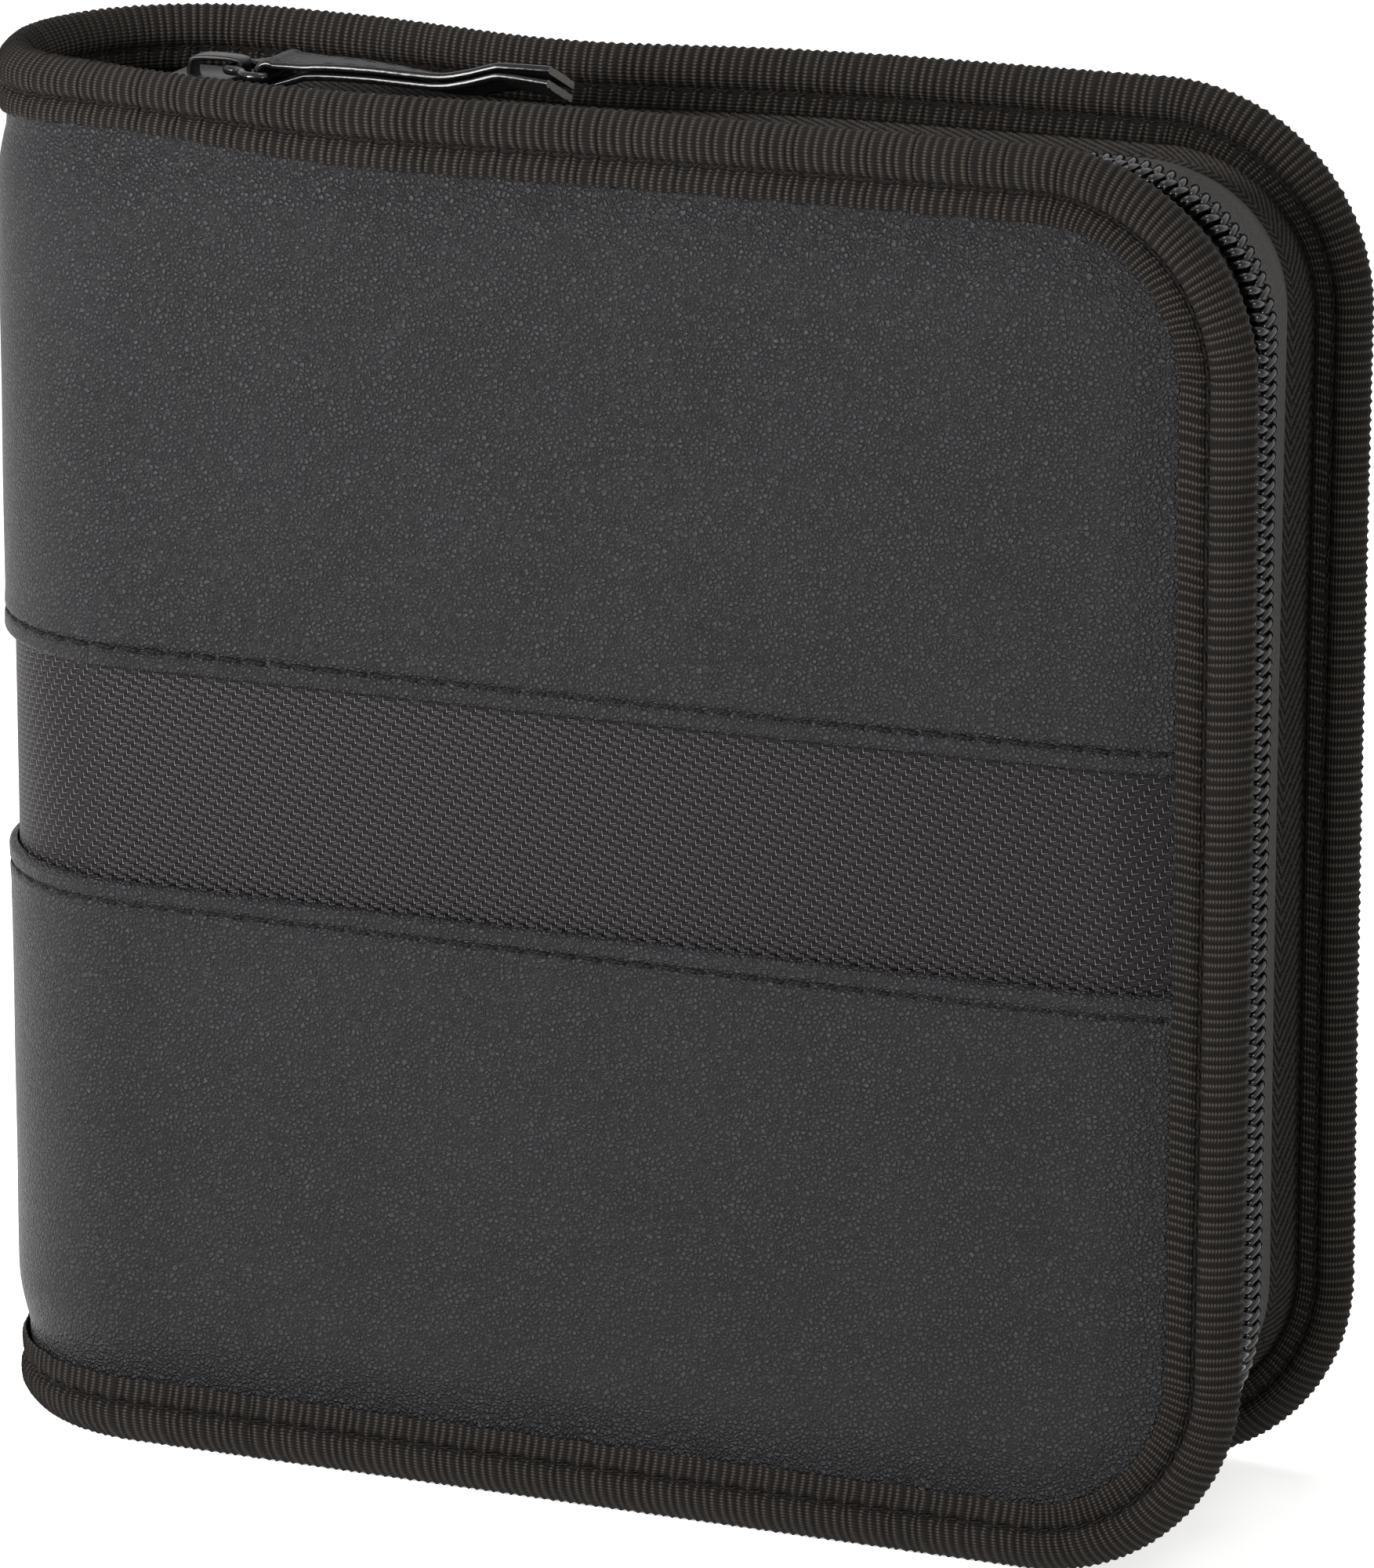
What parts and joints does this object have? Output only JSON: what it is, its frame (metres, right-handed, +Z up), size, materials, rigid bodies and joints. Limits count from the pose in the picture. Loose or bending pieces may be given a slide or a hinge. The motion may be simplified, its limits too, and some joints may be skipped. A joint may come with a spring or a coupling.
{
  "type": "zip-round disc wallet",
  "caption": "Soft zip-round disc wallet standing upright, with leather-look panels, a nylon band, a bound rim, a closed coil zip and sleeve leaves inside.",
  "frame": {"origin": "middle of the footprint, on the surface that the two bound rims stand on", "axes": "+X from the rounded spine to the fore-edge, +Y from the front cover to the back cover, +Z up"},
  "size_m": [0.1603, 0.0482, 0.1657],
  "materials": {
    "leather": "fine pebbled grain, satin, charcoal black",
    "nylon": "twill weave nylon, slight sheen",
    "ribbon": "ribbed grosgrain binding, matt brown-black",
    "tape": "herringbone woven zip tape, matt",
    "coil": "glossy black nylon coil",
    "metal": "black lacquer",
    "foam": "open grey foam",
    "board": "plain sheet",
    "lining": "plain woven lining",
    "sleeve": "soft non-woven sleeve"
  },
  "bodies": {
    "case": {"upper_cover_panel": "leather", "lower_cover_panel": "leather", "nylon_band": "nylon", "front_foam": "foam", "back_foam": "foam", "front_board": "board", "back_board": "board", "cover_lining": "lining", "edge_binding": "ribbon", "front_zip_tape": "tape", "back_zip_tape": "tape", "front_zip_coil": "coil", "back_zip_coil": "coil", "zip_bottom_stop": "metal", "sleeve_leaves": "sleeve"},
    "slider": {"slider_body": "metal"},
    "link": {"pull_link": "metal"},
    "tab": {"pull_tab": "leather"}
  },
  "joints": [
    {"name": "slider_run", "type": "slide", "parent": "case", "child": "slider", "axis": [1, 0, 0], "range_m": [0, 0.1], "deforming": ["front_zip_coil", "back_zip_coil"]},
    {"name": "link_hinge", "type": "hinge", "parent": "slider", "child": "link", "pos_m": [-0.052, 0, 0.1619], "axis": [0, -1, 0], "range_deg": [0, 120]},
    {"name": "tab_hinge", "type": "hinge", "parent": "link", "child": "tab", "pos_m": [-0.046, 0, 0.1619], "axis": [0, -1, 0], "range_deg": [0, 60]}
  ]
}
